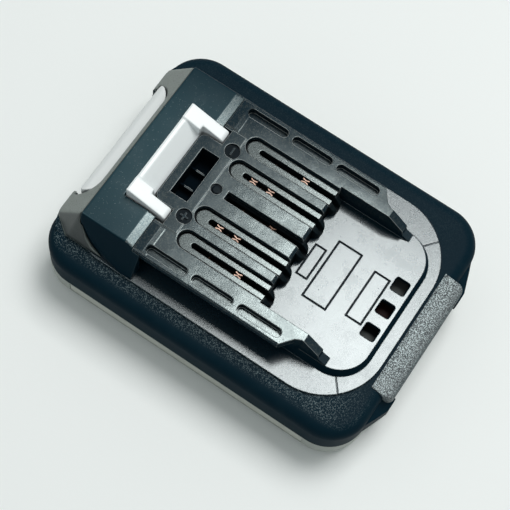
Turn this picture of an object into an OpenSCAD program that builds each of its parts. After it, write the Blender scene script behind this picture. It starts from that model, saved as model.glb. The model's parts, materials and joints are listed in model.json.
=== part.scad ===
// Slide-on battery pack of a cordless tool: case, rails, terminals, latch and one layer of cells.
// +Z is up, the rails are on top, the release button faces -Y, the origin is under the middle of the base.

/* [Case] */
// outside width of the case
case_width = 85; // [84:0.5:90]
// distance from the origin to the front face and to the face of the rear bumper
case_half_length = 57.7; // [57.6:0.05:60]
// radius of the two front corners seen from above
front_corner_radius = 12.5; // [11:0.5:14]
// radius of the two rear corners seen from above
rear_corner_radius = 12.5; // [11:0.5:13]
// thickness of the side walls
wall = 2.2; // [1.6:0.1:2.4]
// thickness of the floor of the base
floor_thickness = 1.8; // [1.4:0.1:2.2]
// height of the parting line between the base and the upper case
base_height = 9.5; // [8.5:0.1:10]
// rounding of the lower edge of the base
foot_radius = 4; // [2:0.5:5]
// rounding of the shoulder of the upper case
shoulder_radius = 4; // [2:0.5:5]
// how far the rear bumper stands out behind the rear wall
bumper_depth = 3.35; // [2.5:0.05:4]
// width of the rear bumper
bumper_width = 43; // [40:0.5:46]

/* [Deck and rails] */
// width of the flat band around the deck
band_width = 70; // [68:0.5:72]
// rear edge of the band
band_rear = 49.05; // [48:0.05:49.5]
// radius of the rear corners of the band
band_corner_radius = 20.7; // [16:0.1:22]
// height of the band above the shoulder
band_step = 0.8; // [0.4:0.1:1.2]
// width of the deck at its top
deck_width = 50.2; // [49.6:0.1:51]
// rear edge of the deck at its top
deck_rear = 44.25; // [44:0.05:46]
// radius of the rear corners of the deck
deck_corner_radius = 10; // [7:0.5:13]
// height of the deck above the band
deck_step = 3.1; // [2.6:0.1:3.4]
// slope of the deck wall, measured outwards at its foot
deck_draft = 1.1; // [0:0.1:1.5]
// height of the rail tops above the deck
rail_rise = 8.3; // [8:0.1:9]
// width over the outer edges of both rails
rail_span = 60; // [58:0.5:62]
// width over the outer faces of both rail webs
web_span = 51.2; // [50.6:0.1:52]
// clear width between the rails behind the terminals
rail_clear = 44.4; // [44:0.1:45]
// thickness of the overhanging rail lip
lip_thickness = 3.6; // [3.2:0.1:4.2]
// rear end of the rail tops
rail_end = 26.85; // [25:0.05:28]
// width of the shallow pockets in the rail tops
pocket_width = 3.1; // [2:0.1:3.4]
// depth of the shallow pockets in the rail tops
pocket_depth = 2.6; // [1:0.1:2.8]
// side of the three square openings in the deck
vent_size = 4.8; // [4:0.1:4.8]
// distance between the middles of the square openings
vent_pitch = 8.6; // [7:0.1:10]

/* [Terminals] */
// distance between neighbouring terminal slots
slot_pitch = 9.12; // [9:0.01:9.14]
// width of a terminal slot
slot_width = 1.9; // [1.6:0.1:2.4]
// width of the four open fingers in the roof over the terminals
finger_width = 6.5; // [6.2:0.1:6.6]
// width of the middle opening in the roof over the terminals
middle_opening = 3; // [2.4:0.1:4]
// depth of the terminal plate below the roof top
plate_drop = 3; // [2.2:0.1:3.4]
// rear end of the terminal roof
roof_end = 10; // [8:0.1:11]
// thickness of the contact springs
contact_thickness = 0.4; // [0.3:0.05:0.5]

/* [Latch] */
// width over the two latch arms
latch_width = 34.4; // [33.8:0.1:35]
// width of one latch arm
arm_width = 3.8; // [3.2:0.1:4]
// height of the latch above the rail tops
latch_rise = 5.4; // [5.2:0.1:6]
// travel of the latch and its button, straight down
latch_travel = 5; // [3:0.1:5]
// running clearance around the latch and the button
latch_gap = 0.4; // [0.35:0.05:0.5]
// width of the release button
button_width = 42.8; // [38:0.2:43.2]
// height of the release button
button_height = 12.4; // [11:0.1:12.4]
// outside diameter of the latch springs
spring_diameter = 3.6; // [3.2:0.1:3.8]

/* [Cells] */
// diameter of a cell
cell_diameter = 18.4; // [18:0.1:18.4]
// length of a cell
cell_length = 65; // [64:0.1:65.4]
// distance between neighbouring cells
cell_pitch = 18.6; // [18.55:0.01:18.7]
// thickness of the soft pad under the cells
pad_thickness = 0.5; // [0.3:0.1:0.6]

/* [Fasteners] */
// diameter of the case screws
screw_diameter = 2.5; // [2:0.1:2.6]
// diameter of the screw heads
screw_head = 4.4; // [4:0.1:4.6]

/* [Hidden] */
$fn = 64;

// small gap between pieces that are fixed to each other
seat_gap = 0.1;
half_width = case_width / 2;
front_face = -case_half_length;
rear_face = case_half_length - bumper_depth;
// depth of the rounded rim that is drawn around the core of each case half
rim_depth = 9;

cell_radius = cell_diameter / 2;
cell_axis = floor_thickness + pad_thickness + cell_radius;
cell_count = 5;
cell_top = cell_axis + cell_radius;

// heights that follow from the stack of cells and case
ceiling = cell_top - 1.1;
ceiling_cover = 1.1;
shoulder_top = cell_top + ceiling_cover;
band_top = shoulder_top + band_step;
deck_top = band_top + deck_step;
deck_plate = 1.8;
deck_wall = 1.6;
rail_top = deck_top + rail_rise;
strip_top = rail_top + 0.4;
pad_top = rail_top + 0.5;
housing_top = rail_top + 1;
roof_plate = 1.8;
roof_under = rail_top - roof_plate;
lip_under = rail_top - lip_thickness;
web_half = web_span / 2;
rail_half = rail_span / 2;
// slanted rear end of the rail lip
rail_slant = 6.5;

// latch housing, behind the front face
housing_front = front_face + 9.6;
housing_rear = housing_front + 18.55;
housing_half = rail_half - 0.4;
housing_roof = 2;
housing_wall = 2.4;

// tower over the terminals, behind the housing
tower_half = rail_clear / 2 + 0.1;
chamber_half = tower_half - 1;
tower_front = housing_rear;
pad_rear = tower_front + 7.75;
pad_half = tower_half - 3.7;
strip_end = tower_front + 4.35;
strip_slope = 1.5;
// shallow pockets in the rail tops, one behind the other
pocket_front = tower_front + 3.1;
pocket_rear = rail_end - rail_slant;
front_pocket = 14.2;
rear_pocket = 15;
pocket_gap = 1.75;
chamber_front = pad_rear;
board_front = chamber_front - 1.9;
plate_top = rail_top - plate_drop;
slot_start = chamber_front + 5.2;
finger_start = chamber_front + 0.5;
// raised part of the terminal plate inside each finger opening
island_gap = 0.7;
island_width = finger_width - 2 * island_gap;
island_top = rail_top - 1.5;
// top of the contact tips in the raised parts
outer_tips = island_top - 0.5;
// mouths of the forked power contacts
power_mouth = slot_start + 17.7;
slot_places = [-2, -1, 0, 1, 2];
outer_places = [-2, -1, 1, 2];
// window in the raised pad, polarity marks and round recess
window_half = 8.7;
window_front = tower_front - 1.4;
window_rear = window_front + 6.1;
window_depth = 7.5;
mark_x = 12.8;
mark_y = pad_rear - 1.25;
mark_depth = 0.8;
mark_size = 4.9;
disc_y = chamber_front + 1.65;
disc_depth = 0.7;

// control board under the terminals
sheet_thickness = 0.4;
insulator_bottom = cell_top + seat_gap;
board_bottom = insulator_bottom + sheet_thickness + seat_gap;
board_thickness = 1.6;
board_top = board_bottom + board_thickness;
board_half = chamber_half - 0.7;
board_rear = deck_rear - 10.25;
// flat parts on the board
switch_size = [5, 6];
switch_places = [-13, -6.5, 6.5, 13];
switch_setback = 20;
chip_size = [8, 7];
chip_setback = 11;
small_size = [1.6, 3.2];
small_places = [-12, -9, 9, 12];
small_setback = 9;
board_hole = 2.2;
board_hole_place = [16, 3];

// latch and housing
latch_half = latch_width / 2;
arm_inner = latch_half - arm_width;
latch_front = housing_front + 7.4;
bar_rear = latch_front + 6.45;
arm_end = latch_front + 13.6;
latch_top = rail_top + latch_rise;
scoop_back = front_face + 7.8;
scoop_wall = 1.75;
slider_front = scoop_back + scoop_wall + 0.6;
slider_plate = 1.8;
slider_half = 14;
slider_foot = 12;
slider_top = housing_top - housing_roof - latch_gap;
flange_thickness = 2;
flange_width = 0.8;
spring_place = 9;
spring_y = slider_front + slider_plate + 0.25;
spring_turns = 5;

// row of cells behind the latch slider
spring_room = 2.85;
cell_front = slider_front + slider_plate + spring_room;
cell_rear = cell_front + cell_diameter + (cell_count - 1) * cell_pitch;

// rear bumper and the flares beside it
bumper_reach = 4.5;
flare_start = bumper_width / 2 - 4.1;
flare_top = shoulder_top - 3.4;
flare_drop = 4.6;

// front cowl
cowl_half = housing_half + 4.6;
cowl_front = front_face + 0.2;
cowl_rear = housing_front + 10.1;
cowl_top = housing_top - 0.6;
cowl_corner = 12.5;
cowl_corner_half = cowl_half + 4.8;

// finger scoop and button
scoop_half = button_width / 2 + 0.9;
scoop_radius = 6.8;
claw = 1.5;
recess_floor = base_height + 1.4;
button_bottom = recess_floor + latch_travel + 0.35;
button_front = front_face + 2.65;
button_back = scoop_back - latch_gap;
stem_half = 12;
stem_height = 4.4;

// end frames, strips and sheets at the ends of the cells
socket_gap = 0.05;
frame_plate = 1.6;
frame_inner = 25;
frame_outer = cell_length / 2 + frame_plate + seat_gap;
frame_top = ceiling - 0.3;
strip_thickness = 0.2;
strip_inner = frame_outer + seat_gap;
strip_outer = strip_inner + strip_thickness;
sheet_inner = strip_outer + 0.25;
sheet_outer = sheet_inner + 0.3;
weld_hole = 12.4;
weld_dimple = 11;
strap_height = cell_axis + 7.1;
strap_width = 3.8;

// labels
label_recess = 0.3;
label_gap = 0.2;
base_label_half = 26;
base_label_front = front_face + 19.7;
base_label_rear = rear_face - 18.35;

// screws
screw_x = sheet_outer + 0.2 + 3.2;
boss_radius = 3.2;
screw_places = [front_face + 20.7, rear_face - 21.35];
head_height = 1.8;
head_seat = 2.6;
screw_length = 12;

function cell_y(i) = cell_front + cell_radius + (i - 1) * cell_pitch;
function valley_y(i) = (cell_y(i) + cell_y(i + 1)) / 2;

// 2D shape in x and z, drawn out along y
module along_y(y0, y1) {
  translate([0, y1, 0]) rotate([90, 0, 0]) linear_extrude(height = y1 - y0) children();
}

// 2D shape in y and z, drawn out along x
module along_x(x0, x1) {
  translate([x0, 0, 0]) rotate([90, 0, 90]) linear_extrude(height = x1 - x0) children();
}

// plain block from corner to corner
module block(x0, x1, y0, y1, z0, z1) {
  translate([x0, y0, z0]) cube([x1 - x0, y1 - y0, z1 - z0]);
}

// the same piece on both sides of the middle plane
module both_sides() {
  children();
  mirror([1, 0, 0]) children();
}

// the same outline on both sides of the middle line
module both_halves() {
  children();
  mirror([1, 0]) children();
}

// outline with its own radius for the front and the rear corners
module rounded_plan(half, y0, y1, front_radius, rear_radius) {
  polygon([[half, y0 + front_radius], [half, y1 - rear_radius], [half - rear_radius, y1],
    [rear_radius - half, y1], [-half, y1 - rear_radius], [-half, y0 + front_radius],
    [front_radius - half, y0], [half - front_radius, y0]]);
  for (side = [-1, 1]) {
    translate([side * (half - rear_radius), y1 - rear_radius]) circle(r = rear_radius);
    translate([side * (half - front_radius), y0 + front_radius]) circle(r = front_radius);
  }
}

// profile carried around a rounded outline, its x is 0 on the outline and negative inside
module rim(half, y0, y1, front_radius, rear_radius) {
  along_y(y0 + front_radius, y1 - rear_radius) translate([half, 0]) children();
  along_y(y0 + front_radius, y1 - rear_radius) mirror([1, 0]) translate([half, 0]) children();
  along_x(rear_radius - half, half - rear_radius) translate([y1, 0]) children();
  along_x(front_radius - half, half - front_radius) mirror([1, 0]) translate([-y0, 0]) children();
  translate([half - rear_radius, y1 - rear_radius, 0])
    rotate_extrude(angle = 90) translate([rear_radius, 0]) children();
  translate([rear_radius - half, y1 - rear_radius, 0]) rotate([0, 0, 90])
    rotate_extrude(angle = 90) translate([rear_radius, 0]) children();
  translate([front_radius - half, y0 + front_radius, 0]) rotate([0, 0, 180])
    rotate_extrude(angle = 90) translate([front_radius, 0]) children();
  translate([half - front_radius, y0 + front_radius, 0]) rotate([0, 0, 270])
    rotate_extrude(angle = 90) translate([front_radius, 0]) children();
}

// solid with a rounded edge profile around it
module rimmed(half, y0, y1, front_radius, rear_radius, z0, z1) {
  rim(half, y0, y1, front_radius, rear_radius) children();
  translate([0, 0, z0]) linear_extrude(height = z1 - z0)
    rounded_plan(half - rim_depth, y0 + rim_depth, y1 - rim_depth,
      front_radius - rim_depth, rear_radius - rim_depth);
}

// edge profile of the base, rounded at the foot
module base_profile() {
  translate([-rim_depth, 0]) square([rim_depth - foot_radius, base_height]);
  translate([-rim_depth, foot_radius]) square([rim_depth, base_height - foot_radius]);
  translate([-foot_radius, foot_radius]) circle(r = foot_radius);
}

// edge profile of the upper case, rounded at the shoulder, grown by a gap
module shoulder_profile(grow) {
  side = shoulder_top - shoulder_radius;
  translate([-rim_depth, base_height]) square([rim_depth + grow, side - base_height]);
  translate([-rim_depth, base_height]) square([rim_depth - shoulder_radius, shoulder_top + grow - base_height]);
  translate([-shoulder_radius, side]) circle(r = shoulder_radius + grow);
}

// outside of the upper case below the band
module shoulder_body(grow) {
  rimmed(half_width, front_face, rear_face, front_corner_radius, rear_corner_radius,
    base_height, shoulder_top + grow) shoulder_profile(grow);
}

// room inside both case halves
module inner_room(z0, z1) {
  translate([0, 0, z0]) linear_extrude(height = z1 - z0)
    rounded_plan(half_width - wall, front_face + wall, rear_face - wall,
      front_corner_radius - wall, rear_corner_radius - wall);
}

// wall around the finger scoop inside the case
module scoop_block() {
  block(-scoop_half - 2, scoop_half + 2, front_face, scoop_back + scoop_wall, base_height, shoulder_top);
}

// scoop for the fingers, open to the front
module scoop_room(z0, z1) {
  translate([0, 0, z0]) linear_extrude(height = z1 - z0) difference() {
    rounded_plan(scoop_half, front_face - 10, scoop_back, 4, scoop_radius);
    both_halves() translate([scoop_half - claw, front_face - 11]) square([claw + 1, 11 + claw]);
  }
}

// outline of the flares at both ends of the bumper
module flare_plan() {
  tip = case_half_length;
  both_halves() polygon([[-1, rear_face - 6], [-1, rear_face], [flare_start, rear_face],
    [flare_start + 0.8, tip - 0.1], [flare_start + 1.6, tip], [flare_start + 4.9, tip],
    [flare_start + 6.8, tip - 0.7], [flare_start + 10.8, tip - 2.2],
    [flare_start + 13.6, rear_face], [flare_start + 13.6, rear_face - 6]]);
}

// screw bosses at the side walls
module bosses(z0, z1) {
  for (y = screw_places) {
    both_sides() {
      translate([screw_x, y, z0]) cylinder(r = boss_radius, h = z1 - z0);
      block(screw_x, half_width - wall + 0.2, y - boss_radius, y + boss_radius, z0, z1);
    }
  }
}

module screw_holes(z0, z1, diameter) {
  for (y = screw_places) {
    for (side = [-1, 1]) {
      translate([side * screw_x, y, z0]) cylinder(d = diameter, h = z1 - z0);
    }
  }
}

// one shallow pocket with round ends in a rail top
module rail_pocket(y0, y1) {
  radius = pocket_width / 2;
  middle = rail_half - 3;
  translate([middle, 0, rail_top - pocket_depth]) linear_extrude(height = pocket_depth + 2) {
    translate([0, y0 + radius]) circle(r = radius);
    translate([0, y1 - radius]) circle(r = radius);
    translate([-radius, y0 + radius]) square([pocket_width, y1 - y0 - pocket_width]);
  }
}

// one rail with its slanted rear end, ramp and stub
module rail() {
  edge = 0.4;
  intersection() {
    along_y(tower_front, rail_end) polygon([[chamber_half, band_top - 1], [web_half, band_top - 1],
      [web_half, lip_under], [rail_half - 2 * edge, lip_under], [rail_half, lip_under + 2 * edge],
      [rail_half, rail_top - edge], [rail_half - edge, rail_top], [chamber_half, rail_top]]);
    translate([0, 0, band_top - 2]) linear_extrude(height = rail_top) polygon([
      [chamber_half, tower_front], [rail_half + 1, tower_front], [rail_half + 1, rail_end - rail_slant],
      [rail_half, rail_end - rail_slant + 0.7], [web_half + 0.2, rail_end - 2.5],
      [rail_clear / 2 + 2.4, rail_end],
      [rail_clear / 2, rail_end], [rail_clear / 2, roof_end], [chamber_half, roof_end]]);
  }
  ramp_end = rail_end + 5.5;
  stub_end = rail_end + 8.4;
  along_x(rail_clear / 2, rail_clear / 2 + 2.7) polygon([[rail_end - 2, deck_top - 1],
    [rail_end - 2, rail_top], [rail_end, rail_top], [ramp_end, rail_top - 4.3],
    [ramp_end + 0.35, deck_top + 1.6], [stub_end, deck_top + 0.3], [stub_end, deck_top - 1]]);
  along_x(chamber_half - 2, rail_half - 2 * edge) polygon([[tower_front, rail_top - 1],
    [tower_front, strip_top], [strip_end - strip_slope, strip_top], [strip_end, rail_top],
    [strip_end, rail_top - 1]]);
}

// raised pad around the latch window and the polarity marks, seen from above
module pad_plan() {
  rounded_plan(arm_inner - latch_gap - 0.3, bar_rear + 0.5, arm_end + 2.1, 2, 2);
  translate([-pad_half, arm_end + latch_gap]) square([2 * pad_half, pad_rear - arm_end - latch_gap]);
}

// room for the latch, seen from above, with extra width at its outside
module latch_plan(gap, extra) {
  outer = latch_half + gap + extra;
  inner = arm_inner - gap;
  front = latch_front - gap - extra;
  translate([-outer, front]) square([2 * outer, bar_rear + gap - front]);
  for (side = [-1, 1]) {
    translate([side * (outer + inner) / 2 - (outer - inner) / 2, front])
      square([outer - inner, arm_end + gap - front]);
  }
}

// thin groove around a rectangle on the deck
module deck_groove(half, y0, y1) {
  groove = 0.4;
  translate([0, 0, deck_top - 0.5]) linear_extrude(height = 1) difference() {
    translate([-half, y0]) square([2 * half, y1 - y0]);
    translate([groove - half, y0 + groove]) square([2 * (half - groove), y1 - y0 - 2 * groove]);
  }
}

// thin radial joint line across the band at a rear corner
module joint_line() {
  translate([deck_width / 2, deck_rear - 4.6, band_top - 0.2]) rotate([0, 0, 38.6])
    block(-2, 8, -0.15, 0.15, 0, 1);
}

// square opening with rounded corners through the deck
module vent(x) {
  half = vent_size / 2;
  middle = deck_rear - 1.15 - half;
  translate([x, 0, deck_top - 4]) linear_extrude(height = 6)
    rounded_plan(half, middle - half, middle + half, 0.8, 0.8);
}

// raised bar or cross in a round recess
module mark_bars(x, cross) {
  bar = [2.6, 0.5];
  translate([x, mark_y, pad_top - mark_depth - 0.2]) linear_extrude(height = mark_depth) {
    square(bar, center = true);
    if (cross) {
      rotate([0, 0, 90]) square(bar, center = true);
    }
  }
}

// opening over one terminal, round at the front and open to the rear
module finger_opening(x) {
  radius = finger_width / 2;
  translate([x, 0, roof_under - 1]) linear_extrude(height = roof_plate + 3) {
    translate([0, finger_start + radius]) circle(r = radius);
    translate([-radius, finger_start + radius]) square([finger_width, roof_end + 1 - finger_start - radius]);
  }
}

module base_case() {
  color([0.3, 0.31, 0.3]) difference() {
    union() {
      difference() {
        rimmed(half_width, front_face, rear_face, front_corner_radius, rear_corner_radius, 0, base_height)
          base_profile();
        inner_room(floor_thickness, base_height + 1);
      }
      bosses(floor_thickness - 0.2, base_height);
      both_sides() translate([spring_place, spring_y, floor_thickness - 0.2])
        cylinder(d = spring_diameter / 2 - 0.2, h = 3);
    }
    screw_holes(-1, base_height + 1, screw_diameter + 0.4);
    screw_holes(-1, head_seat, screw_head + 0.4);
    both_sides() label_area(half_width - label_recess, half_width + 1, 0);
    block(-base_label_half, base_label_half, base_label_front, base_label_rear, -1, label_recess);
  }
}

module upper_case() {
  color([0.12, 0.14, 0.15]) {
    difference() {
      union() {
        shoulder_body(0);
        translate([0, 0, shoulder_top - 1]) linear_extrude(height = band_step + 1)
          rounded_plan(band_width / 2, housing_front + 1, band_rear, 8, band_corner_radius);
        rimmed(deck_width / 2, tower_front + 3, deck_rear, deck_corner_radius, deck_corner_radius,
          band_top - 1, deck_top) polygon([[-rim_depth, band_top - 1], [deck_draft, band_top - 1],
          [deck_draft, band_top], [0, deck_top], [-rim_depth, deck_top]]);
        translate([0, 0, shoulder_top - shoulder_radius - 1]) linear_extrude(height = shoulder_radius + 1)
          cowl_plan();
        intersection() {
          translate([0, 0, base_height]) linear_extrude(height = shoulder_top - base_height) difference() {
            flare_plan();
            translate([seat_gap / 2 - flare_start, rear_face]) square([2 * flare_start - seat_gap, 10]);
          }
          along_x(-half_width, half_width) polygon([[rear_face - 8, base_height],
            [case_half_length + 1, base_height], [case_half_length + 1, flare_top - flare_drop],
            [rear_face - 1, flare_top], [rear_face - 8, flare_top]]);
        }
        both_sides() rail();
        block(-tower_half, tower_half, tower_front, roof_end, band_top - 1, rail_top);
        translate([0, 0, band_top - 1]) linear_extrude(height = pad_top - band_top + 1) pad_plan();
      }
      difference() {
        inner_room(base_height - 1, ceiling);
        scoop_block();
      }
      scoop_room(recess_floor, shoulder_top + 1);
      block(-stem_half - latch_gap, stem_half + latch_gap, scoop_back - 1, scoop_back + 5,
        recess_floor, shoulder_top + 1);
      for (i = [1 : cell_count]) {
        translate([-sheet_outer - 0.2, cell_y(i), cell_axis]) rotate([0, 90, 0])
          cylinder(r = cell_radius + 0.25, h = 2 * sheet_outer + 0.4);
      }
      translate([0, 0, ceiling - 1]) linear_extrude(height = deck_top - deck_plate - ceiling + 1)
        rounded_plan(deck_width / 2 - deck_wall, roof_end - 6, deck_rear - deck_wall,
          2, deck_corner_radius - deck_wall);
      block(-chamber_half, chamber_half, chamber_front, roof_end + 0.2, ceiling - 1, roof_under);
      block(-chamber_half, chamber_half, board_front, roof_end, ceiling - 1, board_top + 1);
      block(-chamber_half, chamber_half, roof_end - 0.1, roof_end + 0.1, deck_top, roof_under);
      block(-window_half - 2.1, window_half + 2.1, window_front - 0.85, chamber_front - 0.5, ceiling - 1,
        pad_top - window_depth - 1.6);
      block(-window_half, window_half, window_front, window_rear, pad_top - window_depth, pad_top + 1);
      translate([0, 0, ceiling - 1]) linear_extrude(height = housing_top - ceiling)
        latch_plan(latch_gap, flange_width);
      block(-latch_half - latch_gap, latch_half + latch_gap, scoop_back + scoop_wall, latch_front,
        ceiling - 1, housing_top);
      both_sides() {
        rail_pocket(pocket_front, pocket_front + front_pocket);
        rail_pocket(pocket_front + front_pocket + pocket_gap, pocket_rear - rear_pocket - pocket_gap);
        rail_pocket(pocket_rear - rear_pocket, pocket_rear);
      }
      deck_groove(5.7, 12.45, 16.45);
      deck_groove(10.6, 17.8, 26.2);
      deck_groove(8.5, 31.75, 37.35);
      for (x = [-vent_pitch, 0, vent_pitch]) {
        vent(x);
      }
      both_sides() joint_line();
      for (place = outer_places) {
        finger_opening(place * slot_pitch);
      }
      along_x(-chamber_half + 0.4, chamber_half - 0.4) polygon([[roof_end - 0.9, rail_top + 0.1],
        [roof_end + 0.2, rail_top + 0.1], [roof_end + 0.2, rail_top - 1.1], [roof_end + 0.1, rail_top - 1.1]]);
      block(-middle_opening / 2, middle_opening / 2, slot_start - 0.1, roof_end + 1, roof_under - 1,
        rail_top + 1);
      for (side = [-1, 1]) {
        translate([side * mark_x, mark_y, pad_top - mark_depth]) cylinder(d = mark_size, h = 2);
      }
      translate([0, disc_y, rail_top - disc_depth]) cylinder(d = 3.6, h = 2);
    }
    difference() {
      bosses(base_height, ceiling + 0.2);
      screw_holes(base_height - 1, ceiling - 1.5, screw_diameter + 0.1);
    }
    mark_bars(-mark_x, false);
    mark_bars(mark_x, true);
    translate([0, disc_y, rail_top - disc_depth - 0.1]) cylinder(d = 2.4, h = 0.4);
    for (x = [-3.1, 3.1]) {
      block(x - 0.25, x + 0.25, window_front - 0.05, window_rear + 0.05,
        pad_top - window_depth - 0.1, pad_top - 4.6);
    }
  }
}

module rear_bumper() {
  face = case_half_length - 0.5;
  start = rear_face - bumper_reach;
  lower = flare_start - seat_gap;
  color([0.2, 0.21, 0.21]) difference() {
    intersection() {
      along_x(-bumper_width / 2, bumper_width / 2) polygon([[start, shoulder_top - 3],
        [start, shoulder_top + 0.3], [face - 0.7, shoulder_top - 0.9],
        [face, shoulder_top - 1.6], [face, base_height + 0.9],
        [face - 0.8, base_height + seat_gap], [rear_face - 3, base_height + seat_gap]]);
      linear_extrude(height = 2 * shoulder_top)
        rounded_plan(bumper_width / 2, start - 0.8, face, 0.4, 2.6);
      union() {
        block(-lower, lower, start - 1, face + 1, base_height, 2 * shoulder_top);
        along_x(-bumper_width / 2 - 1, bumper_width / 2 + 1) polygon([[start - 1, flare_top + seat_gap],
          [rear_face - 1, flare_top + seat_gap], [case_half_length + 1, flare_top - flare_drop + seat_gap],
          [case_half_length + 1, 2 * shoulder_top], [start - 1, 2 * shoulder_top]]);
      }
    }
    shoulder_body(seat_gap / 2);
  }
}

// outline of the latch housing seen from above, wider towards the rear
module housing_plan(gap) {
  corner = 1.2;
  front_half = housing_half + 1.2;
  lobe = housing_rear + 2.7;
  both_halves() {
    translate([front_half - corner, housing_front + corner]) circle(r = corner + gap);
    polygon([[-1, housing_front - gap], [front_half - corner, housing_front - gap],
      [front_half + gap, housing_front + corner], [housing_half + 2.7 + gap, housing_front + 5.1],
      [housing_half + 4 + gap, housing_front + 10.1], [housing_half + 5.4 + gap, housing_rear - 0.85],
      [housing_half + 5 + gap, lobe + gap], [rail_half + seat_gap, lobe + gap],
      [rail_half + seat_gap, housing_rear - seat_gap], [-1, housing_rear - seat_gap]]);
  }
}

// outside of the latch housing
module housing_body(gap) {
  edge = 0.4;
  rear_slope = 1.3;
  foot = housing_half + 5.6 + gap;
  top = housing_half + gap;
  intersection() {
    translate([0, 0, band_top]) linear_extrude(height = housing_top - band_top) housing_plan(gap);
    along_y(housing_front - 1, housing_rear + 4) polygon([[-foot, band_top], [foot, band_top],
      [top, housing_top - edge],
      [top - edge, housing_top], [edge - top, housing_top], [-top, housing_top - edge]]);
    along_x(-foot - 1, foot + 1) polygon([[housing_front - 1, band_top], [housing_front - 1, housing_top],
      [housing_rear - rear_slope, housing_top], [housing_rear, strip_top], [housing_rear + 4, strip_top],
      [housing_rear + 4, band_top]]);
  }
}

module latch_housing() {
  under = housing_top - housing_roof;
  color([0.06, 0.09, 0.11]) difference() {
    housing_body(0);
    block(housing_wall - housing_half, housing_half - housing_wall, housing_front + 2, housing_rear - 2.1,
      band_top - 1, under);
    block(-slider_half - 1, slider_half + 1, housing_front - 1, latch_front, band_top - 1, under);
    translate([0, 0, under - 1]) linear_extrude(height = 5) latch_plan(latch_gap, 0);
    translate([0, 0, band_top - 1]) linear_extrude(height = 20) {
      translate([-latch_half - latch_gap, cowl_rear]) square([2 * (latch_half + latch_gap), 20]);
    }
    block(-rail_half - seat_gap, rail_half + seat_gap, tower_front - seat_gap, tower_front + 10,
      band_top - 1, housing_top + 1);
  }
}

// outline of the front cowl seen from above
module cowl_plan() {
  intersection() {
    rounded_plan(cowl_corner_half, cowl_front, cowl_rear, cowl_corner, 0.4);
    translate([-cowl_half, cowl_front - 1]) square([2 * cowl_half, cowl_rear - cowl_front + 2]);
  }
}

// slanted facet on a front corner of the cowl, as a block to cut away
module corner_cut() {
  translate([housing_half - 0.1, housing_front + 0.2, cowl_top]) rotate([0, 0, -37.8]) rotate([0, -25.2, 0])
    block(0, 20, -40, 40, -30, 30);
}

module front_cowl() {
  color([0.3, 0.31, 0.3]) difference() {
    intersection() {
      along_x(-half_width, half_width) polygon([[cowl_front, shoulder_top], [cowl_front, shoulder_top + 0.7],
        [housing_front - 0.2, cowl_top], [housing_front + 0.8, cowl_top], [housing_front + 1.7, cowl_top - 4.5],
        [housing_front + 3.6, cowl_top - 8], [housing_front + 6.1, cowl_top - 10], [cowl_rear, band_top + 0.5],
        [cowl_rear, shoulder_top]]);
      along_y(cowl_front - 1, cowl_rear + 1) polygon([[-cowl_half, shoulder_top], [cowl_half, shoulder_top],
        [cowl_half, band_top + 1.2], [housing_half - 0.4, cowl_top], [0.4 - housing_half, cowl_top],
        [-cowl_half, band_top + 1.2]]);
      linear_extrude(height = 2 * cowl_top) cowl_plan();
    }
    both_sides() corner_cut();
    translate([0, 0, shoulder_top - 2]) linear_extrude(height = band_step + 2 + seat_gap)
      rounded_plan(band_width / 2 + seat_gap, housing_front + 1 - seat_gap, band_rear, 8, band_corner_radius);
    housing_body(seat_gap);
    block(2 - housing_half, housing_half - 2, housing_front - seat_gap, cowl_rear + 1, band_top - 2,
      cowl_top + 1);
    scoop_room(shoulder_top - 1, cowl_top + 1);
    both_sides() block(scoop_half + 2.4, housing_half - 1.1, cowl_front + 3.5, housing_front - 2,
      shoulder_top - 1, band_top + 1.4);
  }
}

// wedge of the latch: steep in the middle, long and shallow on the arms
module latch_hook() {
  middle = arm_inner - 1.7;
  flange_bottom = slider_top - flange_thickness;
  color([0.93, 0.94, 0.94]) {
    intersection() {
      translate([0, 0, flange_bottom]) linear_extrude(height = 20) latch_plan(0, 0);
      along_x(-latch_half, latch_half) polygon([[latch_front, flange_bottom], [latch_front, latch_top - 0.5],
        [latch_front + 0.7, latch_top - 0.3], [arm_end - 0.6, rail_top + 1.5], [arm_end, rail_top + 0.9],
        [arm_end, flange_bottom]]);
      union() {
        both_sides() block(middle, latch_half + 1, latch_front - 1, arm_end + 1, flange_bottom, latch_top + 1);
        along_x(-middle - 0.01, middle + 0.01) polygon([[latch_front, flange_bottom],
          [latch_front, latch_top - 1.1],
          [latch_front + 0.6, latch_top - 0.8], [latch_front + 1.6, latch_top - 1],
          [bar_rear, rail_top - 0.6], [bar_rear, flange_bottom]]);
      }
    }
    translate([0, 0, flange_bottom]) linear_extrude(height = flange_thickness) {
      translate([-latch_half - flange_width, latch_front - flange_width])
        square([2 * (latch_half + flange_width), bar_rear - latch_front + flange_width]);
    }
    block(-slider_half, slider_half, slider_front, latch_front, flange_bottom, slider_top);
    block(-slider_half, slider_half, slider_front, slider_front + slider_plate, slider_foot, slider_top);
    block(-slider_half, slider_half, slider_front, cell_front - 0.8, slider_foot, slider_foot + 1.8);
  }
}

module release_button() {
  top = button_bottom + button_height;
  half = button_width / 2;
  color([0.95, 0.95, 0.95]) {
    intersection() {
      along_x(-half, half) polygon([[button_back, button_bottom], [button_front + 1.2, button_bottom],
        [button_front, button_bottom + 1.2], [button_front, top - 1.6], [button_front + 0.5, top - 0.5],
        [button_front + 1.6, top], [button_back, top]]);
      linear_extrude(height = 2 * top) rounded_plan(half, button_front, button_front + 20, 1.4, 1.4);
      linear_extrude(height = 2 * top)
        rounded_plan(scoop_half - latch_gap, front_face - 10, button_back, 4, scoop_radius - latch_gap);
    }
    block(-stem_half, stem_half, button_back - 0.5, slider_front - seat_gap / 2,
      button_bottom + 0.4, button_bottom + 0.4 + stem_height);
  }
}

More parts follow.
